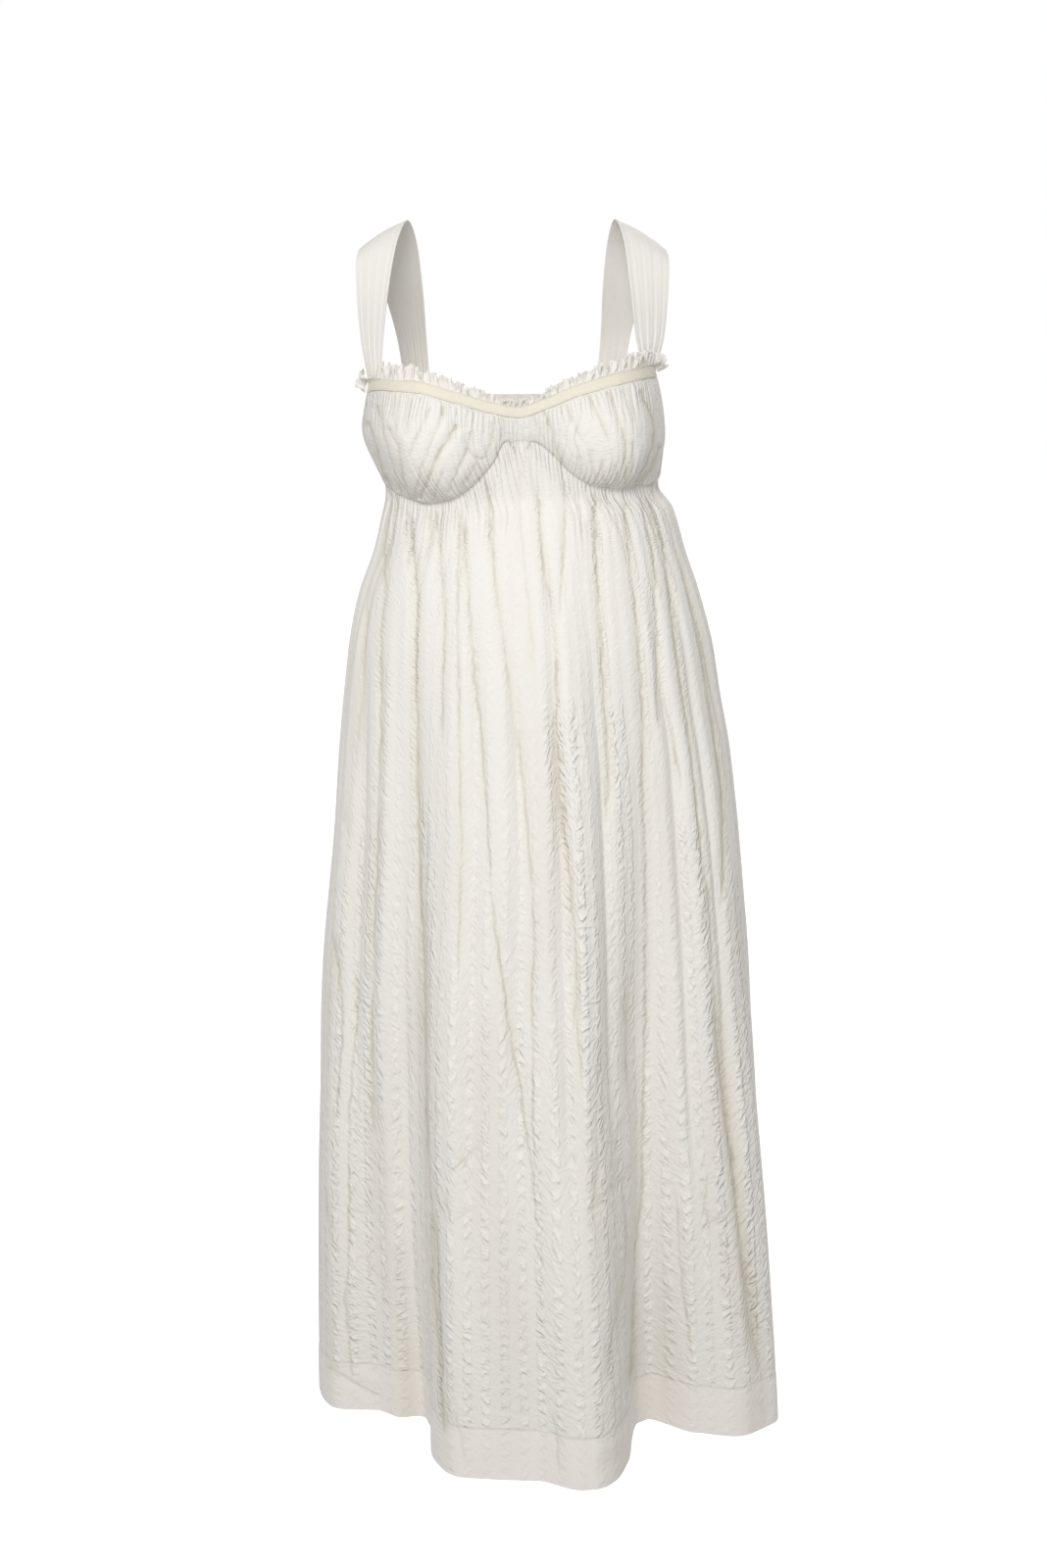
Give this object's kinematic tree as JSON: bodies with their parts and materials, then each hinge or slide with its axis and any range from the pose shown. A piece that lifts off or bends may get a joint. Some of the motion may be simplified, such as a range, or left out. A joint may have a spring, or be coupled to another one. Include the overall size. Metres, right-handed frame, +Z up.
{
  "type": "midi dress",
  "caption": "Sleeveless empire-line midi dress in its worn form: gathered cups, wide shoulder straps, cream tape and frill at the neck, long gathered skirt with a deep hem.",
  "frame": {"origin": "midway between the undersides of the two shoulder straps at their crowns, where the wearer's shoulders carry the dress", "axes": "+Z up along the wearer's body, -Y the front of the dress, +X to the wearer's left (the image's right)"},
  "size_m": [0.4716, 0.4164, 1.207],
  "materials": {
    "striped_cotton": "matte puckered stripe weave",
    "plain_cotton": "matte plain weave",
    "cream_tape": "matte ribbed tape"
  },
  "bodies": {
    "root": {"cup_left": "plain_cotton", "cup_right": "plain_cotton", "back_bodice": "plain_cotton", "skirt_front": "striped_cotton", "skirt_back": "striped_cotton", "strap_left": "plain_cotton", "strap_right": "plain_cotton", "neck_tape": "cream_tape", "neck_ruffle": "plain_cotton"}
  },
  "joints": []
}
